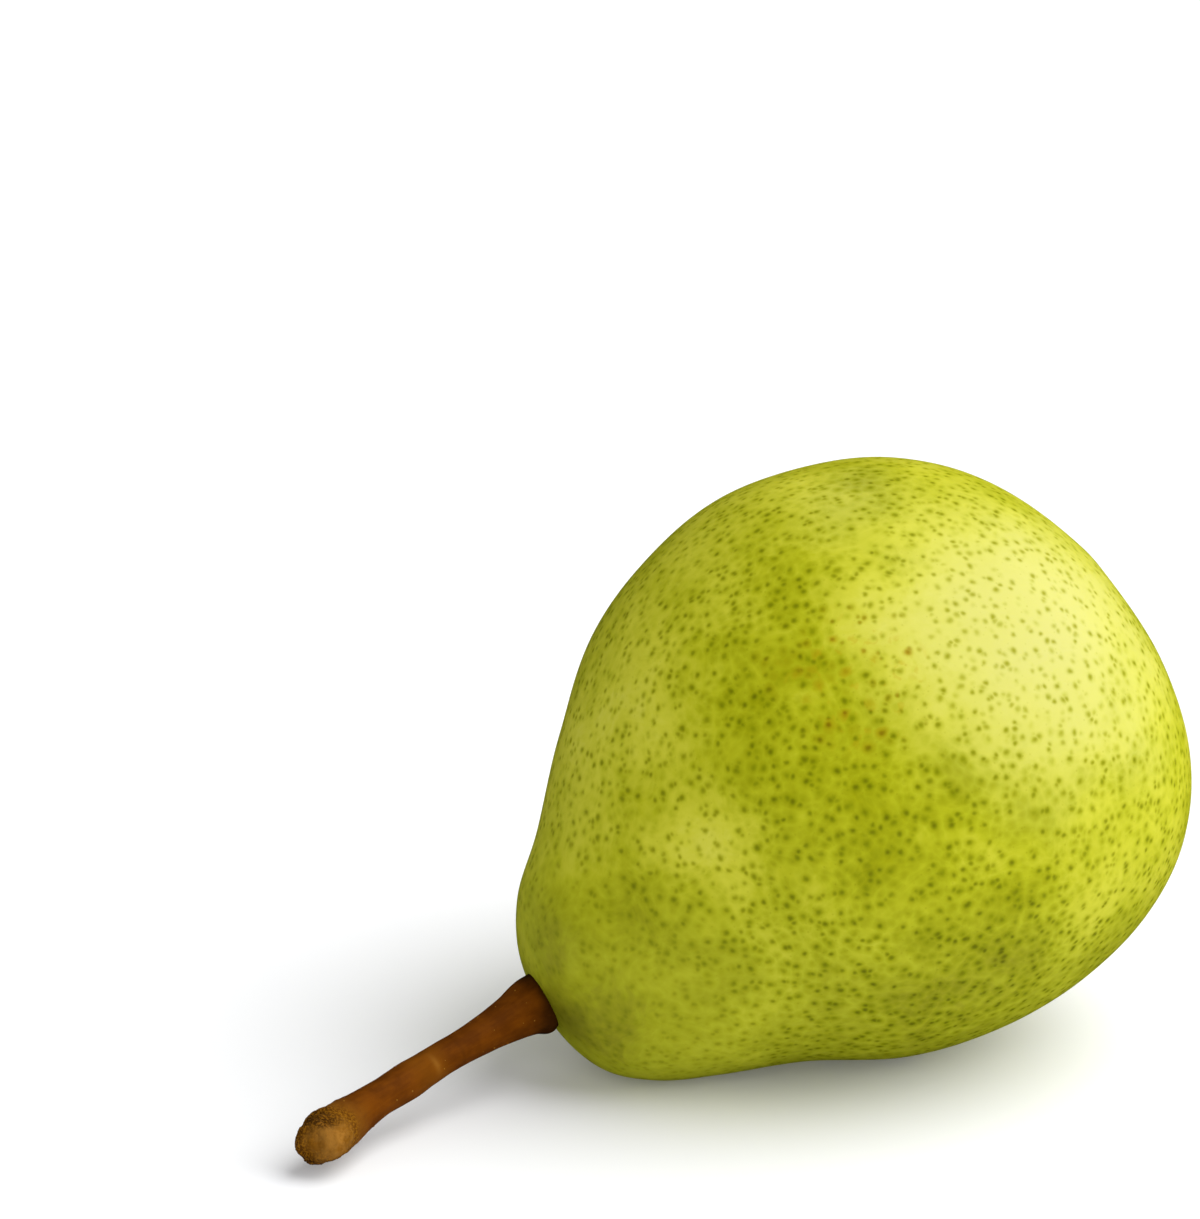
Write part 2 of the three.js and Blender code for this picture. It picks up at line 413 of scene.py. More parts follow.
def ground_colour(graph, place, frayed, greenness):
    colour = ramp_colour(graph, greenness, SKIN_COLOURS)
    # Painted highlight: creamy patches on the lit side and on the top.
    for middle, reach, strength in PAINTED_HIGHLIGHT_PATCHES.values():
        colour = mix(graph, soft_ball(graph, frayed, middle, reach) * strength, colour, PAINTED_HIGHLIGHT_CREAM)
    # Painted sheen low down on the skin.
    above_table = graph.split(place)[2]
    painted_sheen = graph.ease(above_table, PAINTED_SHEEN_LOW_DOWN["from"], PAINTED_SHEEN_LOW_DOWN["full"])
    return mix(graph, painted_sheen * PAINTED_SHEEN_LOW_DOWN["strength"], colour, PAINTED_SHEEN_COLOUR)


print(len(SKIN_COLOURS), "greens and", len(PAINTED_HIGHLIGHT_PATCHES), "creamy patches")

# %% [markdown]
# ## Lenticels
#
# The skin is covered with lenticels, the pores that it breathes through. Each is an olive point
# in a blurred deep green halo. Thousands of them can't be placed by hand. A 3-D Voronoi pattern
# scatters points through space: where one lies just under the surface it makes a large dark
# spot, and where it lies deeper a small faint one, so sizes vary as they do on a real skin.
# Three patterns of different spacing lie over each other: large ones, smaller ones that make
# clusters with them, and fine specks. They show less near the stem, where the skin is duller.

# %% Lenticels
# Each scatter: its spacing, the radius of its points and the radius of its halos, in millimetres.
LARGE_DOTS = (1.52, 0.47, 1.06)
SMALL_DOTS = (1.40, 0.40, 0.86)
FINE_DOTS = (0.95, 0.17, 0.3)
# Shares of a point's radius: where it has faded out, and where it is full.
POINT_FADE = (1.12, 0.05)
FAINTEST_POINT = 0.55
FAINT_NEAR_STEM = {"within": 10, "gone_by": 32, "clearness": 0.45}
CLEARER_BELOW = {"from": 40, "full": 20, "clearness": 1.15}
HALO_TINT = (0.64, 0.675, 0.05, 1)
POINT_TINT = (0.52, 0.525, 0.02, 1)


def dots(graph, place, scatter, widening=1.0):
    """The dark points and the blurred halos of one scatter, each from 0 to 1, and its chances."""
    spacing, point_radius, halo_radius = scatter
    distance, (chance, other_chance, _) = spots(graph, place, spacing)
    gone, full = (share * point_radius for share in POINT_FADE)
    point = graph.ease(distance, gone, full) * graph.ease(chance, 0.0, 0.5, low=FAINTEST_POINT)
    return point, graph.ease(distance, halo_radius * widening, 0), other_chance


def clearness_of(graph, place):
    """How plainly the lenticels show: less near the stem, a little more low down."""
    stem_end = PATCHES["round the stem"][0]
    from_stem = graph.vector_math("DISTANCE", place, stem_end, output="Value")
    near, far, faint = FAINT_NEAR_STEM.values()
    clearness = graph.ease(from_stem, near, far, low=faint)
    above_table = graph.split(place)[2]
    high, low, clear = CLEARER_BELOW.values()
    return clearness * graph.ease(above_table, high, low, low=1.0, high=clear)


print("lenticels are up to", 2 * LARGE_DOTS[2], "mm wide with their halos")

# %% [markdown]
# ## Russet
#
# Russet is cork that the skin has grown over small wounds. This pear has a few orange-brown
# stains on its belly, netted russet round the eye, and a brown cup where the flower sat. At the
# stem's foot the skin is painted a darker olive, as painted shade where the stem shades it. All
# are soft balls of colour again, and a cloud or the lenticels break up the larger ones.

# %% Painting lenticels and russet
# Each patch: its middle, its reach in millimetres and the share of it that is solid.
RUSSET_PATCH = ((6.0, -25.5, 53.5), 11, 0.4)
EYE_RUSSET_PATCH = ((50.5, 0.0, 50.5), 10, 0.3)
EYE_CUP_PATCH = ((47.3, 0.1, 48.6), 4.2, 0.6)
# Painted shade: a darker olive at the stem's foot, where the stem shades the skin.
STEM_FOOT_SHADE_PATCH = ((-21.0, -5.0, 9.6), 7, 0.1)
RUSSET = (0.42, 0.27, 0.004, 1)
RUSSET_POINT_TINT = (0.62, 0.40, 0.1, 1)
EYE_RUSSET = (0.21, 0.125, 0.012, 1)
EYE_CUP = (0.060, 0.034, 0.010, 1)
PAINTED_STEM_FOOT_SHADE = (0.105, 0.098, 0.004, 1)


def with_lenticels(graph, colour, place, warped, frayed, greenness):
    """The colour with its lenticels and the russet that clings to them, and their points."""
    clearness = clearness_of(graph, place)
    widening = graph.ease(greenness, 0.0, 0.8, low=0.7, high=1.25)
    large_point, large_halo, chance = dots(graph, warped, LARGE_DOTS, widening)
    small_point, small_halo, _ = dots(graph, warped, SMALL_DOTS, widening)
    fine_point, _, _ = dots(graph, place, FINE_DOTS)
    halo = graph.math("MAXIMUM", large_halo, small_halo * 0.8) * clearness
    halo_depth = graph.ease(greenness, 0.0, 0.6, low=0.5, high=0.95)
    colour = mix(graph, halo * halo_depth, colour, HALO_TINT, "MULTIPLY")
    colour = mix(graph, fine_point * 0.3 * clearness, colour, POINT_TINT, "MULTIPLY")

    near = soft_ball(graph, frayed, *RUSSET_PATCH)
    stains = near * graph.ease(cloud(graph, warped, 1.3, detail=2), 0.58, 0.70)
    colour = mix(graph, stains * 0.3, colour, RUSSET)
    rubbed = near * graph.ease(chance, 0.5, 0.75)
    colour = mix(graph, rubbed * large_halo * 0.5, colour, RUSSET)

    points = graph.math("MAXIMUM", large_point, small_point) * clearness
    point_depth = graph.ease(greenness, 0.0, 0.4, low=0.78, high=0.88)
    tint = mix(graph, rubbed, POINT_TINT, RUSSET_POINT_TINT)
    return mix(graph, points * point_depth, colour, tint, "MULTIPLY"), points


print("russet reaches", RUSSET_PATCH[1], "mm over the belly and", EYE_RUSSET_PATCH[1], "at the eye")

# %% Skin material
WAXY = {
    "Subsurface Weight": 0.2,
    "Subsurface Radius": (1.0, 0.75, 0.15),
    "Subsurface Scale": 1.2 * MM,
    "Specular IOR Level": 0.06,
    "IOR": 1.45,
}


def make_skin():
    material, graph, shader, place = new_material("pear_skin", WAXY)
    warped = wobbled(graph, place, size=2.0, amount=0.7, detail=2.0)
    frayed = wobbled(graph, place, size=9, amount=10, detail=1.0)
    greenness = greenness_of(graph, place, frayed)
    colour = ground_colour(graph, place, frayed, greenness)
    colour, points = with_lenticels(graph, colour, place, warped, frayed, greenness)

    netted = graph.ease(cloud(graph, place, 0.9, detail=4, roughness=0.7), 0.36, 0.60)
    round_eye = soft_ball(graph, frayed, *EYE_RUSSET_PATCH) * netted
    in_cup = soft_ball(graph, warped, *EYE_CUP_PATCH)
    # Painted shade: a darker olive where the stem shades its foot.
    painted_foot_shade = soft_ball(graph, warped, *STEM_FOOT_SHADE_PATCH)
    colour = mix(graph, round_eye * 0.7, colour, EYE_RUSSET)
    colour = mix(graph, in_cup * 0.85, colour, EYE_CUP)
    colour = mix(graph, painted_foot_shade * 0.7, colour, PAINTED_STEM_FOOT_SHADE)
    graph.plug(colour, shader.inputs["Base Color"])

    grainy = cloud(graph, place, 1.2, detail=2)
    graph.plug(0.28 + 0.12 * grainy + 0.15 * points, shader.inputs["Roughness"])
    uneven = cloud(graph, place, 0.9, detail=2) * 0.5 + cloud(graph, place, 3.5, detail=1)
    relief(graph, shader, strength=0.12, depth=0.25, pattern=uneven)
    return material


skin = make_skin()
print("skin nodes:", len(skin.node_tree.nodes))

# %% [markdown]
# ## The fruit's outline
#
# A pear is close to a turned shape: an outline swung round a core. The outline is a short list
# of rows, each with a distance along the core, the radius there, and how far that round sits
# above the straight core, because the neck and the belly don't share one straight middle. A
# smooth Catmull-Rom curve runs through the rows. A mirrored row at each end makes the two ends
# round instead of pointed.

# %% Outline of the fruit
OUTLINE = [
    (0.0, 0.0, -1.5),
    (1.4, 7.5, -1.8),
    (5.6, 13.2, -1.1),
    (12.2, 17.7, -0.7),
    (20.8, 23.6, 0.8),
    (30.8, 30.5, 0.8),
    (41.6, 34.1, 0.5),
    (52.4, 35.0, 0.1),
    (62.4, 33.0, -0.8),
    (71.0, 28.6, -1.3),
    (77.6, 21.2, -1.5),
    (81.8, 10.6, -1.2),
    (83.2, 0.0, -1.0),
]
RINGS = 230
SIDES = 400
REST_TILT = math.radians(30.8)
STEM_HOLLOW = {"lift": 0.9, "side": 0.9, "depth": 0.6, "width": 4.2}
EYE_BASIN = {"along": 83.2, "lift": -1.0, "depth": 4.6, "width": 7.0}
EYE_CREASES = {"count": 5, "depth": 0.35, "from_eye": 9.5, "width": 3.5}
SWELLING = {"sides": 3, "share": 0.004, "turned": 1.0, "turns_on_per_mm": 0.04}
LUMP_SIZE = 16
PRESSED_EDGE = 0.3


# %% Smooth curve through the outline
def smooth_through(rows, count):
    """count points on the uniform Catmull-Rom curve through rows; the end rows only steer it."""
    rows = np.array(rows, dtype=float)
    spans = len(rows) - 3
    places = np.linspace(0, spans, count)
    first = np.minimum(places.astype(int), spans - 1)
    t = (places - first)[:, None]
    before, start, end, after = (rows[first + step] for step in range(4))
    leave = (end - before) / 2
    arrive = (after - start) / 2
    cubic = (2 * start - 2 * end + leave + arrive) * t**3
    square = (3 * end - 3 * start - 2 * leave - arrive) * t**2
    return cubic + square + leave * t + start


def mirrored(row):
    along, radius, lift = row
    return (along, -radius, lift)


outline = smooth_through([mirrored(OUTLINE[1]), *OUTLINE, mirrored(OUTLINE[-2])], RINGS)
outline_template = bpy.data.meshes.new("outline")
outline_template.from_pydata((outline * MM).tolist(), [(i, i + 1) for i in range(RINGS - 1)], [])
print(f"outline: {outline[-1][0]:.1f} mm long, {outline[:, 1].max():.1f} mm at its widest radius")

# %% [markdown]
# ## The fruit by rule
#
# The fruit's shape follows a rule, so Geometry Nodes make it: a flat grid is bent round the
# core, ring by ring, with each ring's radius read from the outline. The same sums push in the
# hollow at the stem and the basin at the eye, add five shallow creases round the eye and a
# slight three-sided swelling, and lean the whole fruit over until neck and belly touch the
# table. Where flesh would go through the table it is pressed flat instead, as the weight of a
# ripe pear does.

# %% Bending a grid round the core
def length_of(graph, a, b):
    return graph.math("SQRT", a * a + b * b)


def around_core(graph, given):
    """A flat grid and, for its corners, the distance along the core, the lift and the side."""
    outline_inputs = {"Geometry": given["Geometry"]}
    size = graph.add("GeometryNodeAttributeDomainSize", {"component": "MESH"}, outline_inputs)
    grid_inputs = {
        "Size X": 1.0,
        "Size Y": 1.0,
        "Vertices X": size,
        "Vertices Y": given["Sides"] + 1,
    }
    grid = graph.add("GeometryNodeMeshGrid", inputs=grid_inputs, output="Mesh")
    spot = graph.add("GeometryNodeInputPosition")
    across, around, _ = graph.split(spot)
    ring = graph.math("ROUND", (across + 0.5) * (size - 1))
    angle = (around + 0.5) * TURN

    row_inputs = {"Geometry": given["Geometry"], "Value": spot, "Index": ring}
    row = graph.add("GeometryNodeSampleIndex", {"data_type": "FLOAT_VECTOR"}, row_inputs)
    along, radius, middle = graph.split(row)

    turned = SWELLING["turned"] + along * (SWELLING["turns_on_per_mm"] / MM)
    wave = graph.math("COSINE", SWELLING["sides"] * angle + turned)
    radius = radius * (1 + SWELLING["share"] * wave)
    lift = middle + radius * graph.math("SINE", angle)
    return grid, along, lift, radius * graph.math("COSINE", angle)


# %% Hollow and basin
def dent(graph, distance, width):
    """1 in the middle, fading smoothly to 0 over about twice the width."""
    return graph.math("EXPONENT", -((distance / width) ** 2))


def pushed_in(graph, given, along, lift, side):
    """The distance along the core once the hollow, the basin and its creases are pushed in."""
    hollow_lift = lift - STEM_HOLLOW["lift"] * MM
    from_stem = length_of(graph, hollow_lift, side - STEM_HOLLOW["side"] * MM)
    hollow = given["Hollow Depth"] * dent(graph, from_stem, STEM_HOLLOW["width"] * MM)

    eye_lift = lift - EYE_BASIN["lift"] * MM
    from_eye = length_of(graph, eye_lift, side)
    basin = given["Basin Depth"] * dent(graph, from_eye, EYE_BASIN["width"] * MM)
    wave = graph.math("COSINE", EYE_CREASES["count"] * graph.math("ARCTAN2", side, eye_lift))
    from_crease = from_eye - EYE_CREASES["from_eye"] * MM
    creased = wave * dent(graph, from_crease, EYE_CREASES["width"] * MM)
    basin = basin + EYE_CREASES["depth"] * MM * creased

    is_far_half = graph.math("GREATER_THAN", along, EYE_BASIN["along"] * MM / 2)
    return along + hollow * (1 - is_far_half) - basin * is_far_half


# %% Fruit tree
FRUIT_INPUTS = {
    "Sides": "Int",
    "Rest Tilt": "Float",
    "Shift": "Vector",
    "Table Height": "Float",
    "Hollow Depth": "Float",
    "Basin Depth": "Float",
    "Unevenness": "Float",
    "Material": "Material",
}


def make_fruit_tree():
    graph, given = new_tree("turned_fruit", FRUIT_INPUTS)
    grid, along, lift, side = around_core(graph, given)
    along = pushed_in(graph, given, along, lift, side)

    tilt_cos = graph.math("COSINE", given["Rest Tilt"])
    tilt_sin = graph.math("SINE", given["Rest Tilt"])
    laid = graph.join(along * tilt_cos - lift * tilt_sin, side, along * tilt_sin + lift * tilt_cos)
    bent = graph.add("GeometryNodeSetPosition", inputs={"Geometry": grid, "Position": laid})
    merge_inputs = {"Geometry": bent, "Distance": SAME_POINT}
    closed = graph.add("GeometryNodeMergeByDistance", inputs=merge_inputs)

    spot = graph.add("GeometryNodeInputPosition")
    lump_inputs = {"Vector": spot, "Scale": 1 / (LUMP_SIZE * MM), "Detail": 1.0}
    lumps = graph.add("ShaderNodeTexNoise", inputs=lump_inputs, output="Fac")
    normal = graph.add("GeometryNodeInputNormal")
    uneven = graph.scaled(normal, (lumps - 0.5) * given["Unevenness"])
    offset = graph.vector_math("ADD", uneven, given["Shift"])
    moved = graph.add("GeometryNodeSetPosition", inputs={"Geometry": closed, "Offset": offset})

    x, y, z = graph.split(graph.add("GeometryNodeInputPosition"))
    on_table = graph.math("SMOOTH_MAX", z, given["Table Height"], PRESSED_EDGE * MM)
    pressed = graph.join(x, y, on_table)
    resting = graph.add("GeometryNodeSetPosition", inputs={"Geometry": moved, "Position": pressed})
    finish_tree(graph, resting, given["Material"])
    return graph


fruit_tree = make_fruit_tree()
print("fruit tree nodes:", len(fruit_tree.tree.nodes))

# %% [markdown]
# ## Laying the fruit where the CAD model has it
#
# The tree runs twice. The first fruit is only measured: its box says how far it has to move to
# lie in the CAD fruit's box. The second is made at that place, pressed flat at the table.

# %% Grow the fruit
def make_fruit():
    settings = {
        "Sides": SIDES,
        "Rest Tilt": REST_TILT,
        "Shift": (0.0, 0.0, 0.0),
        "Table Height": -1.0,
        "Hollow Depth": STEM_HOLLOW["depth"] * MM,
        "Basin Depth": EYE_BASIN["depth"] * MM,
        "Unevenness": 0.25 * MM,
        "Material": skin,
    }
    trial = grow("fruit_trial", outline_template, fruit_tree, settings)
    low, high = corners(trial)
    bpy.data.objects.remove(trial)
    cad_low, cad_high = (np.array(corner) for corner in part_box("fruit"))
    shift = (cad_low + cad_high - low - high) / 2
    shift[2] = cad_high[2] - high[2]
    settings["Shift"] = tuple(float(value) for value in shift)
    settings["Table Height"] = float(cad_low[2])
    fruit = grow("pear_skin", outline_template, fruit_tree, settings)
    return fruit, shift


fruit, to_place = make_fruit()
tidy_mesh(fruit)
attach(fruit, "root")
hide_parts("fruit")
print("the fruit moved by (mm):", np.round(to_place / MM, 2))


def at_rest(along, lift, side):
    """A place along the core, above it and beside it, in millimetres, in the resting pear."""
    tilt_cos = math.cos(REST_TILT)
    tilt_sin = math.sin(REST_TILT)
    turned = (along * tilt_cos - lift * tilt_sin, side, along * tilt_sin + lift * tilt_cos)
    return np.array(turned) * MM + to_place


# %% [markdown]
# ## The stem's wood
#
# The stem is smooth reddish-brown bark with fine streaks along it, darker where it leaves the
# fruit, and it ends in a thick, tan, crumbly knob where it broke off the twig. Streaks must
# follow the stem as it bends, so the mesh carries measures of its own: how far along the stem a
# point lies, how much it looks up, whether it is on the scar, and a place for the streaks that
# is wrapped round the stem. The wood is painted zone by zone along that first measure.

# %% Colours and zones of the wood
WOOD = {
    "dark bark": (0.086, 0.0215, 0.0003, 1),
    "light bark": (0.134, 0.036, 0.0008, 1),
    "knee": (0.19, 0.062, 0.002, 1),
    "ring": (0.04, 0.010, 0.0004, 1),
    "scar": (0.75, 0.40, 0.07, 1),
    # Partly painted shade: the dark colour at the stem's foot.
    "foot": (0.016, 0.005, 0.0005, 1),
    "neck of knob": (0.165, 0.062, 0.005, 1),
    "worn, dark": (0.180, 0.068, 0.003, 1),
    "worn, light": (0.30, 0.135, 0.020, 1),
    "worn, grain": (0.10, 0.032, 0.003, 1),
    "crumbs, dark": (0.070, 0.023, 0.0005, 1),
    "crumbs, light": (0.22, 0.090, 0.004, 1),
    "rim": (0.018, 0.006, 0.0005, 1),
    "pore": (0.32, 0.15, 0.02, 1),
}
# Where each zone starts and is full, in millimetres along the stem, and how ragged its edge is.
ZONES = {
    "knee starts": (14.5, 17.0, 0),
    "knee ends": (22.5, 19.5, 0),
    "knob": (29.5, 35.0, 3),
    "crust": (32.0, 35.5, 3),
    "rim": (34.5, 37.0, 2),
    "end rim starts": (37.3, 38.0, 1.2),
    "end rim ends": (39.4, 38.6, 0),
}
RING_AT = 13.2
WORN_PATCH = ((-53.2, -17.8, 5.0), 4.4, 0.3)


def start_wood():
    """A new material, its patterns, and the measures that the stem's mesh carries."""
    material, graph, shader, place = new_material("stem_wood", {"Specular IOR Level": 0.03})
    wrapped = graph.add("ShaderNodeAttribute", {"attribute_name": "wrapped"}, output="Vector")
    patterns = {
        "place": place,
        "streaks": cloud(graph, wrapped, 0.35, detail=4, roughness=0.6),
        "blotches": cloud(graph, place, 2.4, detail=3, roughness=0.55),
        "grains": cloud(graph, place, 0.24, detail=4, roughness=0.6),
    }
    for name in ("along", "upward", "scar", "paleness"):
        settings = {"attribute_name": name}
        patterns[name] = graph.add("ShaderNodeAttribute", settings, output="Fac")
    return material, graph, shader, patterns


def zone(graph, patterns, name):
    start, full, ragged = ZONES[name]
    place = patterns["along"] + ragged * (patterns["blotches"] - 0.5)
    return graph.ease(place, start, full)


print("zones of the wood:", ", ".join(ZONES))

# %% Bark and knob
def bark_colour(graph, patterns):
    """Streaked bark with a redder knee, a dark ring, the pale scar and a dark foot, partly painted
    shade.
    """
    blotches = patterns["blotches"]
    tone = graph.ease(patterns["streaks"] * 0.35 + blotches * 0.65, 0.34, 0.68)
    bark = mix(graph, tone, WOOD["dark bark"], WOOD["light bark"])
    knee = zone(graph, patterns, "knee starts") * zone(graph, patterns, "knee ends")
    bark = mix(graph, knee * 0.35, bark, WOOD["knee"])
    from_ring = graph.math("ABSOLUTE", patterns["along"] - RING_AT + 0.9 * (blotches - 0.5))
    broken_up = graph.ease(blotches, 0.4, 0.6, low=0.1, high=0.45)
    ring = graph.ease(from_ring, 0.45, 0.1) * broken_up
    bark = mix(graph, ring, bark, WOOD["ring"])
    bark = mix(graph, patterns["scar"] * 0.95, bark, WOOD["scar"])
    # The dark foot: partly the wood's own colour, partly painted shade, less on its upper side.
    from_fruit = patterns["along"] + 1.6 * (blotches - 0.5) + 1.2 * patterns["upward"]
    return mix(graph, graph.ease(from_fruit, 3.4, 0.7) * 0.8, bark, WOOD["foot"])


def knob_colour(graph, patterns):
    """The broken end: tan and crumbly, with one side that is worn smooth and pale."""
    blotches, grains = patterns["blotches"], patterns["grains"]
    worn = mix(graph, graph.ease(blotches, 0.38, 0.62), WOOD["worn, dark"], WOOD["worn, light"])
    worn = mix(graph, graph.ease(grains, 0.45, 0.65) * 0.3, worn, WOOD["worn, grain"])
    crumby = graph.ease(grains, 0.45, 0.58)
    crumbs = mix(graph, crumby, WOOD["crumbs, dark"], WOOD["crumbs, light"])
    outer = mix(graph, zone(graph, patterns, "crust"), WOOD["neck of knob"], crumbs)
    uneven = wobbled(graph, patterns["place"], size=2.0, amount=3.0, detail=3.0)
    return mix(graph, soft_ball(graph, uneven, *WORN_PATCH), outer, worn)


def rim_of_knob(graph, patterns):
    """How dark the knob is at its rim, above and below and right at the broken end."""
    upward = patterns["upward"]
    downwards = graph.ease(upward, -0.4, -0.85)
    turned_away = graph.math("MAXIMUM", downwards, graph.ease(upward, 0.5, 0.9))
    sides = zone(graph, patterns, "rim") * turned_away
    end = zone(graph, patterns, "end rim starts") * zone(graph, patterns, "end rim ends")
    rim = graph.math("MAXIMUM", sides, end * 0.35)
    return rim * graph.ease(patterns["grains"], 0.60, 0.46, low=0.3)


# %% Wood material
def make_wood():
    material, graph, shader, patterns = start_wood()
    knob = zone(graph, patterns, "knob")
    colour = bark_colour(graph, patterns)
    colour = mix(graph, knob * 0.9, colour, knob_colour(graph, patterns))
    colour = mix(graph, rim_of_knob(graph, patterns) * 0.8, colour, WOOD["rim"])
    colour = mix(graph, patterns["paleness"], colour, WOOD["pore"])
    graph.plug(colour, shader.inputs["Base Color"])

    graph.plug(0.5 + 0.25 * knob + 0.15 * patterns["grains"], shader.inputs["Roughness"])
    grooves = patterns["streaks"] * 0.4 + patterns["grains"] * (0.2 + 0.9 * knob)
    relief(graph, shader, strength=0.4, depth=0.15, pattern=grooves)
    return material


wood = make_wood()
print("wood nodes:", len(wood.node_tree.nodes))

# %% [markdown]
# ## The stem
#
# The stem is a skin of rings along a curved path. A curve with a bevel would give an even tube,
# but this one flares at its foot, where a small heel of wood hangs over the fruit. It bends at
# a knee with an old bud scar, and ends in a broken knob. So the rings are worked out in code:
# each has its own radius, and soft noise dents and ridges it. The rings at the two ends shrink
# to a point, which closes the mesh.

# %% Path of the stem
# The path's points are measured from the foot, in millimetres.
STEM_PATH = [
    (0, 0, 0),
    (-6.8, -2.6, -1.6),
    (-13.9, -5.1, -3.2),
    (-19.1, -7.8, -4.1),
    (-25.5, -11.2, -5.15),
    (-31.8, -15.8, -5.85),
    (-33.4, -16.9, -5.7),
]
# Each row: a distance along the stem and the radius there.
STEM_RADII = [
    (-4.0, 2.9),
    (0.0, 3.35),
    (1.2, 3.25),
    (3.7, 2.70),
    (7.6, 2.22),
    (12.1, 1.95),
    (15.2, 1.94),
    (18.0, 2.02),
    (21.1, 2.16),
    (24.7, 2.0),
    (28.4, 2.2),
    (32.9, 2.66),
    (35.8, 2.92),
    (37.2, 2.75),
    (38.4, 2.3),
]
STEM_ROOT = 3.5
STEM_STEP = 0.2
SMOOTHED_OVER = 13


def along_curve(points, step):
    """Evenly spaced points on a path, their directions, and the lengths up to them."""
    fine = smooth_through([2 * points[0] - points[1], *points, 2 * points[-1] - points[-2]], 2000)
    lengths = np.concatenate([[0], np.cumsum(np.linalg.norm(np.diff(fine, axis=0), axis=1))])
    count = int(lengths[-1] / step)
    wanted = np.linspace(0, lengths[-1], count)
    places = np.stack([np.interp(wanted, lengths, fine[:, axis]) for axis in range(3)], axis=1)
    directions = np.gradient(places, axis=0)
    directions /= np.linalg.norm(directions, axis=1)[:, None]
    return places, directions, wanted


def side_vectors(directions):
    """Two vectors across the path at each point, carried along it without twisting."""
    first = np.cross(directions[0], (0, 0, 1))
    firsts = []
    for direction in directions:
        first = first - direction * np.dot(first, direction)
        first = first / np.linalg.norm(first)
        firsts.append(first)
    firsts = np.array(firsts)
    return firsts, np.cross(directions, firsts)


def stem_radii(distances):
    """The radius at each ring, smoothed over a few rings so that no row of the list shows."""
    radii = np.interp(distances, *zip(*STEM_RADII))
    soften = np.hanning(SMOOTHED_OVER) / np.hanning(SMOOTHED_OVER).sum()
    return np.convolve(np.pad(radii, SMOOTHED_OVER // 2, mode="edge"), soften, mode="valid")


print(f"stem: {np.linalg.norm(STEM_PATH[-1]):.1f} mm straight from its foot to its end")

# %% Shape of the stem
STEM_SIDES = 84
SCAR = {"along": 17.6, "half_width": 0.45, "half_height": 1.0, "raised": 0.18}
SCAR_FACES = Vector((-0.38, -0.88, 0.28)).normalized()
HEEL = {"along": 0.3, "raised": 0.7}
KNOB = {"start": 29.0, "full_after": 6, "lobes": 0.13, "crumbs": 0.15}
BROKEN_END = {"dome": 1.1, "roughness": 0.45, "measures_on": 1.2}
UNEVEN_BARK = 0.02
# How fine each kind of noise is, in blobs a millimetre; ridges are measured on the wrap.
FINENESS = {"ridges": 1.6, "lumps": 0.42, "lobes": 0.55, "crumbs": 0.9, "break": 0.5}
WRAP = {"radius": 2, "stretch": 0.12}


def scar_at(distance, across, radius):
    """1 on the middle of the old bud scar, 0 away from it."""
    turned = math.acos(max(-1.0, min(1.0, float(np.dot(across, SCAR_FACES)))))
    lengthwise = (distance - SCAR["along"]) / SCAR["half_width"]
    crosswise = turned * radius / SCAR["half_height"]
    return math.exp(-(lengthwise**2) - crosswise**2)


def stem_rows(ring_count):
    """Each row of corners: its ring, and its share of that ring's radius."""
    rows = [(0, share) for share in np.linspace(0.0, 0.9, 4)]
    rows += [(ring, 1.0) for ring in range(ring_count)]
    rows += [(ring_count - 1, math.cos(turn)) for turn in np.linspace(0.15, TURN / 4, 14)]
    return rows


def stem_size(centre, across, radius, share, distance, wrap, scar):
    """How far a corner lies from the path: ridges, lumps, the knob's lobes and crumbs, the heel."""
    knob = min(max((distance - KNOB["start"]) / KNOB["full_after"], 0), 1)
    on_rim = Vector(centre + across * radius)
    within = Vector(centre + across * radius * share)
    ridges = noise.noise(wrap * FINENESS["ridges"])
    lumps = noise.noise(on_rim * FINENESS["lumps"])
    lobes = noise.noise(on_rim * FINENESS["lobes"] + Vector((3, 1, 7)))
    crumbs = noise.fractal(within * FINENESS["crumbs"], 0.7, 2.0, 4)
    heel = max(0, -across[2]) * math.exp(-((distance - HEEL["along"]) ** 2))
    size = radius * share * (1 + UNEVEN_BARK * (ridges + lumps) + KNOB["lobes"] * lobes * knob)
    size += share * (KNOB["crumbs"] * knob * crumbs + SCAR["raised"] * scar)
    return size + HEEL["raised"] * share * heel


def broken_end(place, share):
    """How far the broken end stands out beyond the last ring."""
    broken = noise.fractal(place * FINENESS["break"], 0.8, 2.0, 4)
    domed = math.sqrt(1 - share**2) * BROKEN_END["dome"]
    return domed + BROKEN_END["roughness"] * broken * (1 - share**4)


def wrap_at(angle, distance):
    """A place on a thin, shortened cylinder, so that noise drawn there runs along the stem."""
    ring = (math.cos(angle) * WRAP["radius"], math.sin(angle) * WRAP["radius"])
    return Vector((*ring, distance * WRAP["stretch"]))


print("stem: the knob starts at", KNOB["start"], "mm and the scar is at", SCAR["along"], "mm")

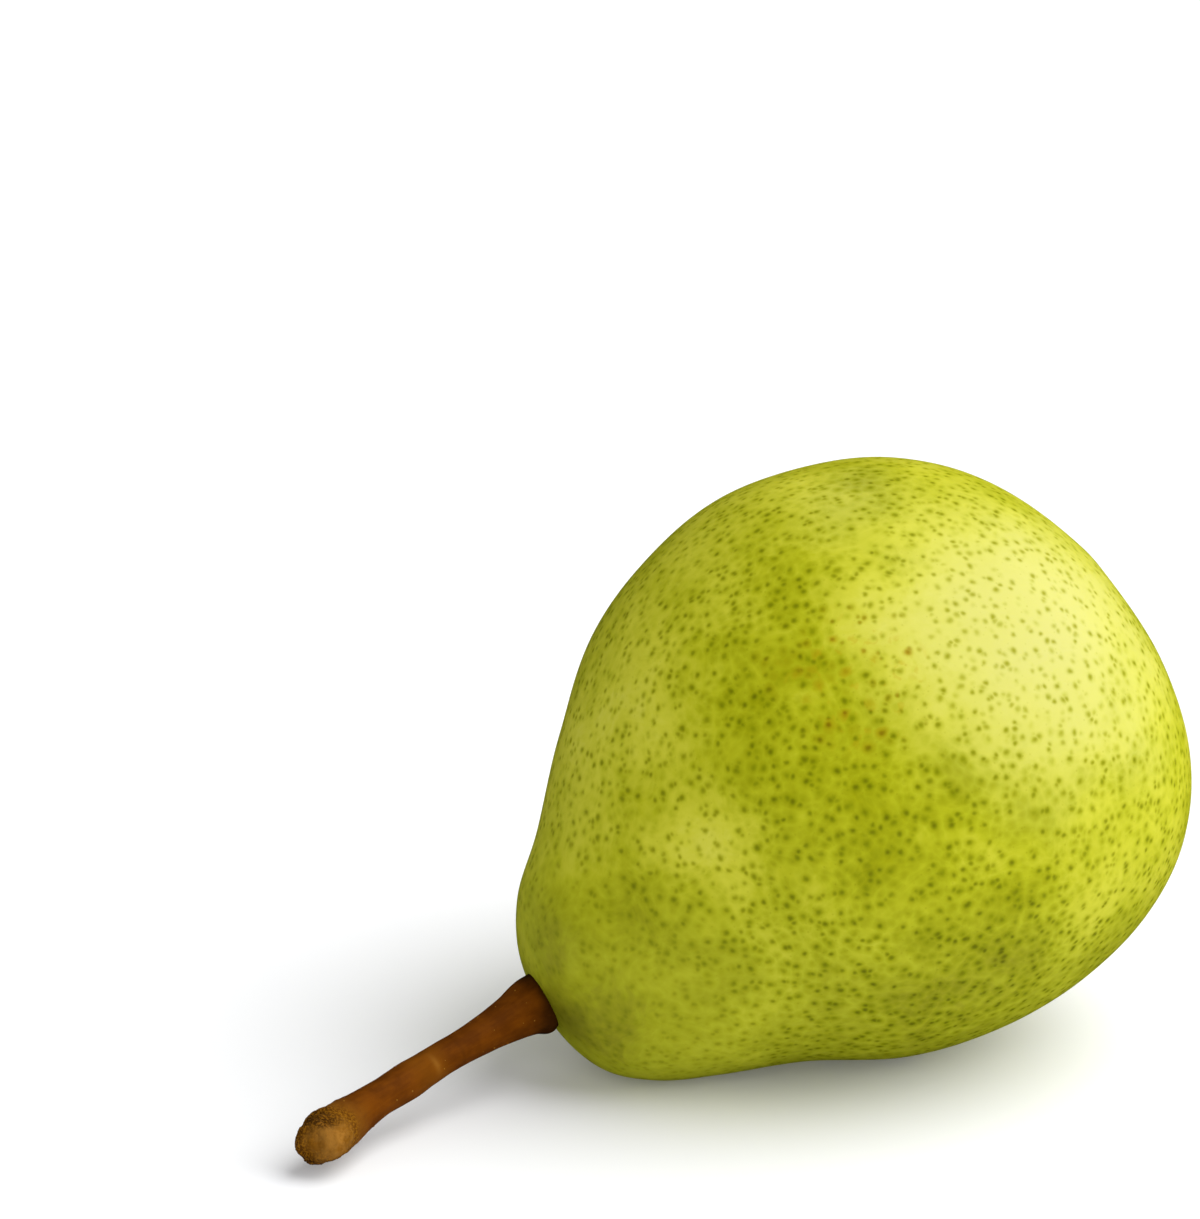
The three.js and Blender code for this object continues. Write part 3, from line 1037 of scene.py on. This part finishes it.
# %% Stem
def make_stem():
    foot = at_rest(0, STEM_HOLLOW["lift"], STEM_HOLLOW["side"]) / MM
    root = at_rest(STEM_ROOT, STEM_HOLLOW["lift"], STEM_HOLLOW["side"]) / MM
    path = np.array([root, *[foot + np.array(offset, dtype=float) for offset in STEM_PATH]])
    places, directions, lengths = along_curve(path, STEM_STEP)
    firsts, seconds = side_vectors(directions)
    distances = lengths - STEM_ROOT
    radii = stem_radii(distances)
    rows = stem_rows(len(places))
    vertices, wraps = [], []
    measures = {"along": [], "upward": [], "scar": []}
    for ring, share in rows:
        distance = float(distances[ring])
        is_end = ring == len(places) - 1
        for angle in np.arange(STEM_SIDES) * TURN / STEM_SIDES:
            across = math.cos(angle) * firsts[ring] + math.sin(angle) * seconds[ring]
            wrap = wrap_at(angle, distance)
            scar = scar_at(distance, across, radii[ring])
            size = stem_size(places[ring], across, radii[ring], share, distance, wrap, scar)
            point = places[ring] + across * size
            if is_end:
                inner_place = Vector(places[ring] + across * radii[ring] * share)
                point = point + directions[ring] * broken_end(inner_place, share)
            beyond = BROKEN_END["measures_on"] * (1 - share) if is_end else 0
            vertices.append(tuple(point * MM))
            wraps.append(wrap)
            measures["along"].append(distance + beyond)
            measures["upward"].append(across[2] * share)
            measures["scar"].append(scar)
    mesh = bpy.data.meshes.new("stem")
    mesh.from_pydata(vertices, [], ring_faces(len(rows), STEM_SIDES))
    for name, values in measures.items():
        mesh.attributes.new(name, "FLOAT", "POINT").data.foreach_set("value", values)
    wrapped = mesh.attributes.new("wrapped", "FLOAT_VECTOR", "POINT")
    wrapped.data.foreach_set("vector", np.array(wraps).ravel())
    print(f"stem: {distances[-1]:.1f} mm from the fruit to its last ring")
    return new_piece("stem_wood", mesh, wood)


stem = make_stem()
tidy_mesh(stem)
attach(stem, "root")
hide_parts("stem")

# %% [markdown]
# ## Grains on the stem
#
# The bark has tiny raised pores, paler than the rest, and the broken knob is crusted with
# crumbs. Both are small lumps scattered over a surface, so one Geometry Nodes tree makes both:
# it scatters points where the stem's own length measure lies between two ends, and puts a small
# flattened ball on each. The balls inherit the stem's measures, so the wood material colours
# them as it colours the stem right under them.

# %% Grain tree
GRAIN_INPUTS = {
    "From": "Float",
    "To": "Float",
    "Density": "Float",
    "Smallest": "Float",
    "Largest": "Float",
    "Flatness": "Float",
    "Paleness": "Float",
    "Seed": "Int",
    "Material": "Material",
}


def random_value(graph, low, high, seed, kind="FLOAT"):
    """A value by chance for each copy: a number, or a vector when kind is FLOAT_VECTOR."""
    first, second, result = (2, 3, 1) if kind == "FLOAT" else (0, 1, 0)
    inputs = {first: low, second: high, "Seed": seed}
    return graph.add("FunctionNodeRandomValue", {"data_type": kind}, inputs, result)


def ball_mesh(graph):
    ball_inputs = {"Radius": 1.0, "Subdivisions": 2}
    return graph.add("GeometryNodeMeshIcoSphere", inputs=ball_inputs, output="Mesh")


def make_grain_tree():
    graph, given = new_tree("grains_on_stem", GRAIN_INPUTS)
    along = graph.add("GeometryNodeInputNamedAttribute", {"data_type": "FLOAT"}, {"Name": "along"})
    after = graph.math("GREATER_THAN", along, given["From"])
    before = graph.math("LESS_THAN", along, given["To"])
    scatter_inputs = {
        "Mesh": given["Geometry"],
        "Density": given["Density"] * after * before,
        "Seed": given["Seed"],
    }
    points, turns = graph.add(
        "GeometryNodeDistributePointsOnFaces",
        {"distribute_method": "RANDOM"},
        scatter_inputs,
        ("Points", "Rotation"),
    )

    lumps = graph.add("ShaderNodeTexNoise", inputs={"Scale": 1.3, "Detail": 2.0}, output="Fac")
    place = graph.add("GeometryNodeInputPosition")
    bent = graph.scaled(place, 0.7 + lumps * 0.6)
    grain_inputs = {"Geometry": ball_mesh(graph), "Position": bent}
    grain = graph.add("GeometryNodeSetPosition", inputs=grain_inputs)
    width = random_value(graph, given["Smallest"], given["Largest"], given["Seed"])
    scale = graph.join(width, width, width * given["Flatness"])
    instance_inputs = {"Points": points, "Instance": grain, "Rotation": turns, "Scale": scale}
    grains = graph.add("GeometryNodeInstanceOnPoints", inputs=instance_inputs)
    store_inputs = {"Geometry": grains, "Name": "paleness", "Value": given["Paleness"]}
    store_settings = {"data_type": "FLOAT", "domain": "INSTANCE"}
    marked = graph.add("GeometryNodeStoreNamedAttribute", store_settings, store_inputs)
    finish_tree(graph, marked, given["Material"])
    return graph


grain_tree = make_grain_tree()
print("grain tree nodes:", len(grain_tree.tree.nodes))

# %% Grains
PER_SQUARE_MM = 1 / MM**2


def make_grains(name, values):
    settings = {**values, "Material": wood}
    grains = grow(name, stem.data.copy(), grain_tree, settings)
    tidy_mesh(grains)
    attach(grains, "root")
    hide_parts("stem")


make_grains("stem_pores", {
    "From": 2.5,
    "To": 33.0,
    "Density": 0.10 * PER_SQUARE_MM,
    "Smallest": 0.04 * MM,
    "Largest": 0.13 * MM,
    "Flatness": 0.5,
    "Paleness": 0.6,
    "Seed": 4,
})
make_grains("stem_crumbs", {
    "From": 35.0,
    "To": 60.0,
    "Density": 2.0 * PER_SQUARE_MM,
    "Smallest": 0.05 * MM,
    "Largest": 0.14 * MM,
    "Flatness": 0.7,
    "Paleness": 0.0,
    "Seed": 9,
})

# %% [markdown]
# ## The dried flower
#
# Every pear keeps the end of its flower: five dried, dark sepals round a tuft of dried stamens,
# in the eye. A sepal is a small leaf that has curled up as it dried. Each is a flat tube of
# rings again, with its edges rolled up and noise for the wrinkles, and its own noise makes no
# two alike. The dead leaf is dark brown, and paler where it has frayed.

# %% Dried material
def make_dried(name, dark, pale):
    material, graph, shader, place = new_material(name, {"Specular IOR Level": 0.08})
    fibres = cloud(graph, place, 0.5, detail=4, roughness=0.65)
    frayed = cloud(graph, place, 1.6, detail=3)
    tone = graph.ease(fibres * 0.6 + frayed * 0.4, 0.40, 0.66)
    graph.plug(mix(graph, tone, dark, pale), shader.inputs["Base Color"])
    graph.plug(0.7 + 0.2 * fibres, shader.inputs["Roughness"])
    relief(graph, shader, strength=0.6, depth=0.15, pattern=fibres)
    return material


dried_leaf = make_dried("dried_sepal", (0.020, 0.010, 0.0035, 1), (0.105, 0.054, 0.017, 1))
dried_tuft = make_dried("dried_stamen", (0.018, 0.009, 0.003, 1), (0.15, 0.078, 0.026, 1))

# %% Shape of a sepal
SEPALS = 5
SEPAL = {
    "root": 1.5,
    "reach": 3.7,
    "rise": 0.9,
    "width": 2.7,
    "thickness": 0.26,
    "clearance": 0.5,
    "curl": 1.5,
    "wrinkles": 0.30,
    "veins": 0.06,
}
# How much chance changes one sepal: shares of its reach, curl and width, and a bend in radians.
BY_CHANCE = {"reach": 0.45, "curl": 1.2, "edge": 0.35, "bend": 0.7}
SEPAL_RINGS = 44
SEPAL_SIDES = 28


def in_eye(out, away, angle):
    """A place in the eye: out from the basin's lowest point, away from its middle, and round it."""
    along = EYE_BASIN["along"] - EYE_BASIN["depth"] + out
    return at_rest(along, EYE_BASIN["lift"] + away * math.sin(angle), away * math.cos(angle))


def basin_floor(away):
    return EYE_BASIN["depth"] * (1 - math.exp(-((away / EYE_BASIN["width"]) ** 2)))


def sepal_half_width(t, angle, own):
    """Half the width at t from root to tip: widest past the middle, with a ragged edge."""
    edge_place = Vector((t * 5, math.copysign(2, math.cos(angle)), 0)) + own
    ragged = 1 + BY_CHANCE["edge"] * noise.noise(edge_place)
    return SEPAL["width"] / 2 * (1 - min(t, 0.999)) ** 0.8 * (0.95 + 0.9 * t) * ragged


def sepal_point(number, t, share, angle):
    """A point of a sepal: t from root to tip, share from its middle to its edge, angle round it."""
    own = Vector((number * 9.0 + 4.0, 0.0, 0.0))
    reach = SEPAL["reach"] * (1 + BY_CHANCE["reach"] * noise.noise(own))
    away = SEPAL["root"] + reach * (t - 0.22 * t**4)
    across = sepal_half_width(t, angle, own) * share * math.cos(angle)

    arch = SEPAL["rise"] * math.sin(math.pi * 0.62 * t) * (1 - 0.45 * t)
    curl = SEPAL["curl"] * (1 + BY_CHANCE["curl"] * noise.noise(own + Vector((0, 0, 3)))) * t**3
    rolled = (0.35 + 0.9 * t) * (across / (SEPAL["width"] / 2)) ** 2
    wrinkle_place = Vector((away * 0.8, across * 1.6, 0)) + own
    wrinkles = SEPAL["wrinkles"] * noise.fractal(wrinkle_place, 0.8, 2.0, 3)
    veins = SEPAL["veins"] * math.cos(across * 10)
    half_thickness = SEPAL["thickness"] / 2 * share * min(1.0, 0.3 + 2 * (1 - t))
    out = basin_floor(away) + SEPAL["clearance"] + arch + curl
    out += rolled + wrinkles + veins + half_thickness * math.sin(angle)

    bend = BY_CHANCE["bend"] * t**2 * noise.noise(own + Vector((0, 5, 0)))
    middle = TURN * (number + 0.5) / SEPALS + bend
    return in_eye(out, math.hypot(away, across), middle + math.atan2(across, away))


# %% Sepals
def make_sepal(number):
    rows = [(0.0, share) for share in (0.0, 0.5, 0.9)]
    rows += [(ring / SEPAL_RINGS, 1.0) for ring in range(SEPAL_RINGS + 1)]
    rows += [(1.0, 0.0)]
    vertices = [
        tuple(sepal_point(number, t, share, TURN * side / SEPAL_SIDES))
        for t, share in rows
        for side in range(SEPAL_SIDES)
    ]
    mesh = bpy.data.meshes.new("sepal")
    mesh.from_pydata(vertices, [], ring_faces(len(rows), SEPAL_SIDES))
    sepal = new_piece(f"dried_sepal_{number + 1}", mesh, dried_leaf)
    tidy_mesh(sepal)
    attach(sepal, "root")
    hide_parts(f"sepal_{number + 1}")


for number in range(SEPALS):
    make_sepal(number)

# %% [markdown]
# ## The tuft of stamens
#
# Between the sepals stands a dense tuft of dried stamens and styles, each a thin bent thread
# with a shrunken anther on its end. One thread is drawn as a tapered curve, and Geometry Nodes
# put a copy on each of many points spread evenly over a small disc, each turned, leaned and
# sized by chance.

# %% Tuft tree
TUFT_INPUTS = {
    "Spacing": "Float",
    "Thread Height": "Float",
    "Thread Radius": "Float",
    "Anther Radius": "Float",
    "Lean": "Float",
    "Seed": "Int",
    "Material": "Material",
}
# Shares of a thread's height: how far its top and its middle lean over, and how high it bends.
THREAD_BEND = {"top": 0.38, "middle": 0.02, "bends_at": 0.55}


def make_thread(graph, given):
    """One bent, tapered thread with its anther, standing at the origin."""
    height = given["Thread Height"]
    top = graph.join(height * THREAD_BEND["top"], 0.0, height)
    middle = graph.join(height * THREAD_BEND["middle"], 0.0, height * THREAD_BEND["bends_at"])
    line_inputs = {
        "Resolution": 9,
        "Start": (0.0, 0.0, 0.0),
        "Middle": middle,
        "End": top,
    }
    line = graph.add("GeometryNodeCurveQuadraticBezier", inputs=line_inputs)
    along = graph.add("GeometryNodeSplineParameter", output="Factor")
    radius = given["Thread Radius"] * graph.ease(along, 0.0, 1.0, low=1.0, high=0.45)
    round_inputs = {"Resolution": 7, "Radius": 1.0}
    outline = graph.add("GeometryNodeCurvePrimitiveCircle", inputs=round_inputs, output="Curve")
    tube_inputs = {"Curve": line, "Profile Curve": outline, "Scale": radius, "Fill Caps": True}
    thread = graph.add("GeometryNodeCurveToMesh", inputs=tube_inputs)
    size = given["Anther Radius"]
    anther_inputs = {
        "Geometry": ball_mesh(graph),
        "Translation": top,
        "Rotation": (0.3, 0.5, 0.0),
        "Scale": graph.join(size, size * 0.7, size * 1.6),
    }
    anther = graph.add("GeometryNodeTransform", inputs=anther_inputs)
    joined = graph.add("GeometryNodeJoinGeometry", output=None)
    graph.plug(thread, joined.inputs["Geometry"])
    graph.plug(anther, joined.inputs["Geometry"])
    return Term(graph, joined.outputs[0])


def make_tuft_tree():
    graph, given = new_tree("tuft_of_threads", TUFT_INPUTS)
    scatter_inputs = {
        "Mesh": given["Geometry"],
        "Distance Min": given["Spacing"],
        "Density Max": given["Spacing"] ** -2,
        "Seed": given["Seed"],
    }
    points, turns = graph.add(
        "GeometryNodeDistributePointsOnFaces",
        {"distribute_method": "POISSON"},
        scatter_inputs,
        ("Points", "Rotation"),
    )
    share = random_value(graph, 0.6, 1.05, given["Seed"])
    copies_inputs = {
        "Points": points,
        "Instance": make_thread(graph, given),
        "Rotation": turns,
        "Scale": graph.join(share, share, share),
    }
    copies = graph.add("GeometryNodeInstanceOnPoints", inputs=copies_inputs)
    lean = given["Lean"]
    least = graph.join(-lean, -lean, 0.0)
    most = graph.join(lean, lean, TURN)
    chance = random_value(graph, least, most, given["Seed"] + 1, "FLOAT_VECTOR")
    leaned_inputs = {"Instances": copies, "Rotation": chance, "Local Space": True}
    leaned = graph.add("GeometryNodeRotateInstances", inputs=leaned_inputs)
    finish_tree(graph, leaned, given["Material"])
    return graph


tuft_tree = make_tuft_tree()
print("tuft tree nodes:", len(tuft_tree.tree.nodes))

# %% Tuft
TUFT_RADIUS = 1.35
TUFT_LIFT = 0.2
RIM_POINTS = 24


def make_tuft():
    angles = [TURN * step / RIM_POINTS for step in range(RIM_POINTS)]
    rim = [tuple(in_eye(TUFT_LIFT, TUFT_RADIUS, angle)) for angle in angles]
    disc = bpy.data.meshes.new("disc")
    disc.from_pydata(rim, [], [tuple(range(RIM_POINTS))])
    settings = {
        "Spacing": 0.23 * MM,
        "Thread Height": 2.8 * MM,
        "Thread Radius": 0.12 * MM,
        "Anther Radius": 0.22 * MM,
        "Lean": 0.22,
        "Seed": 5,
        "Material": dried_tuft,
    }
    tuft = grow("dried_tuft", disc, tuft_tree, settings)
    tidy_mesh(tuft)
    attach(tuft, "root")
    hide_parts("dried_stamens")


make_tuft()

# %% [markdown]
# ## The table, the light and the camera
#
# A plain pale table and one broad soft light from the upper right show a glossy fruit best. A
# sun lamp with a wide angle acts like a very large soft box, and lights the whole table evenly.
# A low, weaker one in front and a dim white world fill the shadows. The table also glows
# faintly. That stands in for the light which the white walls of a studio send under the fruit.
# The camera looks down on the pear by sixteen degrees, with a long lens from 60 cm away.

# %% Table
TABLE_REACH = 4.0
TABLE_GLOW = 0.08
DARK_WHITE = (0.80, 0.805, 0.82, 1)
LIGHT_WHITE = (0.81, 0.815, 0.83, 1)


def make_table():
    low, high = -TABLE_REACH, TABLE_REACH
    mesh = bpy.data.meshes.new("table")
    square = [(low, low, 0), (high, low, 0), (high, high, 0), (low, high, 0)]
    mesh.from_pydata(square, [], [(0, 1, 2, 3)])
    constants = {
        "Specular IOR Level": 0.1,
        "Roughness": 0.9,
        "Emission Color": (1, 1, 1, 1),
        "Emission Strength": TABLE_GLOW,
    }
    material, graph, shader, place = new_material("white_table", constants)
    tint = mix(graph, cloud(graph, place, 40, detail=2), DARK_WHITE, LIGHT_WHITE)
    graph.plug(tint, shader.inputs["Base Color"])
    table = new_piece("table", mesh, material)
    table.visible_glossy = False
    print(f"table: {2 * TABLE_REACH:.0f} m wide")


make_table()

# %% Light
SOFT_BOX = {"energy": 3.96, "width": 74, "towards": (0.60, -0.31, 0.74)}
FRONT_FILL = {"energy": 1.2, "width": 60, "towards": (-0.35, -0.92, 0.20)}
WORLD_STRENGTH = 0.375


def make_sun(name, energy, width, towards):
    lamp = bpy.data.lights.new(name, "SUN")
    lamp.energy = energy
    lamp.angle = math.radians(width)
    light = bpy.data.objects.new(name, lamp)
    light.rotation_euler = Vector(towards).to_track_quat("Z", "Y").to_euler()
    bpy.context.scene.collection.objects.link(light)
    return light


def make_world(strength):
    """An even white surrounding that doesn't mirror in the skin."""
    world = bpy.data.worlds.new("studio")
    world.use_nodes = True
    background = world.node_tree.nodes["Background"]
    background.inputs["Color"].default_value = (1, 1, 1, 1)
    background.inputs["Strength"].default_value = strength
    world.cycles_visibility.glossy = False
    bpy.context.scene.world = world


def make_light():
    make_sun("soft_box", **SOFT_BOX)
    fill = make_sun("front_fill", **FRONT_FILL)
    fill.visible_glossy = False
    make_world(WORLD_STRENGTH)
    bpy.context.scene.view_settings.view_transform = "Standard"
    print("lamps:", ", ".join(lamp.name for lamp in bpy.data.lights))


make_light()

# %% Camera
CAMERA_AZIMUTH = math.radians(-23)
CAMERA_ELEVATION = math.radians(16)
CAMERA_DISTANCE = 600.8 * MM
CAMERA_AIM = Vector((-5.9, 19.1, 50.4)) * MM
CAMERA_LENS = 151.8


def make_camera():
    back = Vector((
        math.sin(CAMERA_AZIMUTH) * math.cos(CAMERA_ELEVATION),
        -math.cos(CAMERA_AZIMUTH) * math.cos(CAMERA_ELEVATION),
        math.sin(CAMERA_ELEVATION),
    ))
    settings = bpy.data.cameras.new("camera")
    settings.lens = CAMERA_LENS
    settings.sensor_width = 36
    settings.clip_start = 0.01
    camera = bpy.data.objects.new("camera", settings)
    camera.location = CAMERA_AIM + back * CAMERA_DISTANCE
    camera.rotation_euler = back.to_track_quat("Z", "Y").to_euler()
    bpy.context.scene.collection.objects.link(camera)
    bpy.context.scene.camera = camera
    print(f"camera: {CAMERA_LENS} mm lens, {CAMERA_DISTANCE / MM:.0f} mm from what it looks at")


make_camera()
